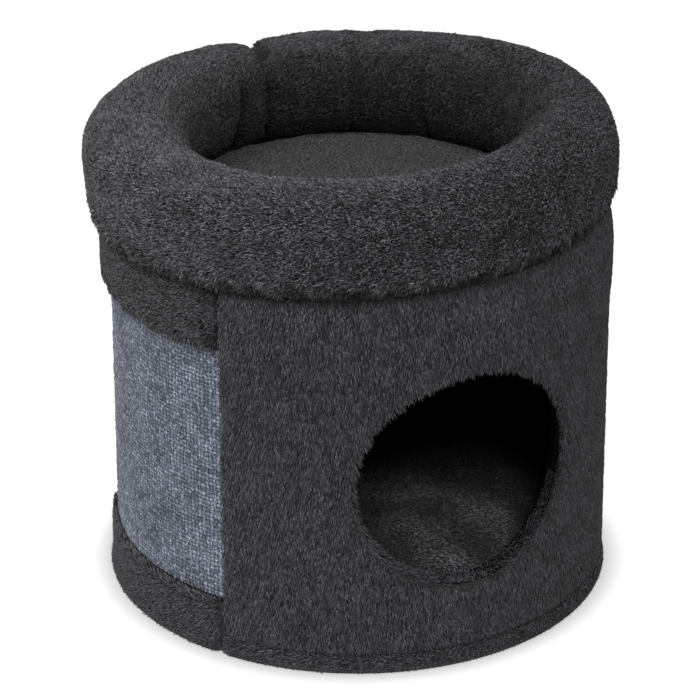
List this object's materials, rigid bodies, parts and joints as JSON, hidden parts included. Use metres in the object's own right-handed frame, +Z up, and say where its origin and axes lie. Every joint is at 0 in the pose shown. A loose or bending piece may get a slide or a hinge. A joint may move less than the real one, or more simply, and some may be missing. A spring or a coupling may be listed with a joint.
{
  "type": "cat condo",
  "caption": "Plush-covered drum for a cat, with a round cave entrance, a woven scratching panel on one side and an open bed inside a padded ring bolster on top.",
  "frame": {"origin": "on the floor, under the centre of the round base", "axes": "+Z up along the drum's axis; the entrance faces -Y and the scratching panel faces -X"},
  "size_m": [0.3706, 0.3682, 0.3588],
  "materials": {
    "wall_plush": "matte",
    "long_plush": "matte",
    "lining": "matte",
    "woven_panel": "matte",
    "felt": "matte",
    "fibre_filling": "matte",
    "foam": "matte",
    "fibreboard": "matte",
    "paperboard": "matte",
    "zinc_steel": "satin"
  },
  "bodies": {
    "condo": {"drum_tube": "paperboard", "base_board": "fibreboard", "floor_disc": "fibreboard", "base_screws": "zinc_steel", "top_board": "fibreboard", "lower_tube_staples": "zinc_steel", "upper_tube_staples": "zinc_steel", "wall_cover": "wall_plush", "wall_lining": "lining", "ceiling_lining": "lining", "scratch_mat": "woven_panel", "upper_trim_strip": "long_plush", "lower_trim_strip": "wall_plush", "base_edge_cover": "wall_plush", "underside_staples": "zinc_steel", "base_underlay": "felt", "bed_pad": "foam", "bed_floor_cover": "long_plush", "bolster_cover": "long_plush", "bolster_filling": "fibre_filling", "bolster_staples": "zinc_steel"},
    "cave_cushion": {"cave_cushion_cover": "long_plush", "cave_cushion_filling": "fibre_filling"}
  },
  "joints": [
    {"name": "cave_cushion_lift", "type": "slide", "parent": "condo", "child": "cave_cushion", "axis": [0, 0, 1], "range_m": [0, 0.15]}
  ]
}
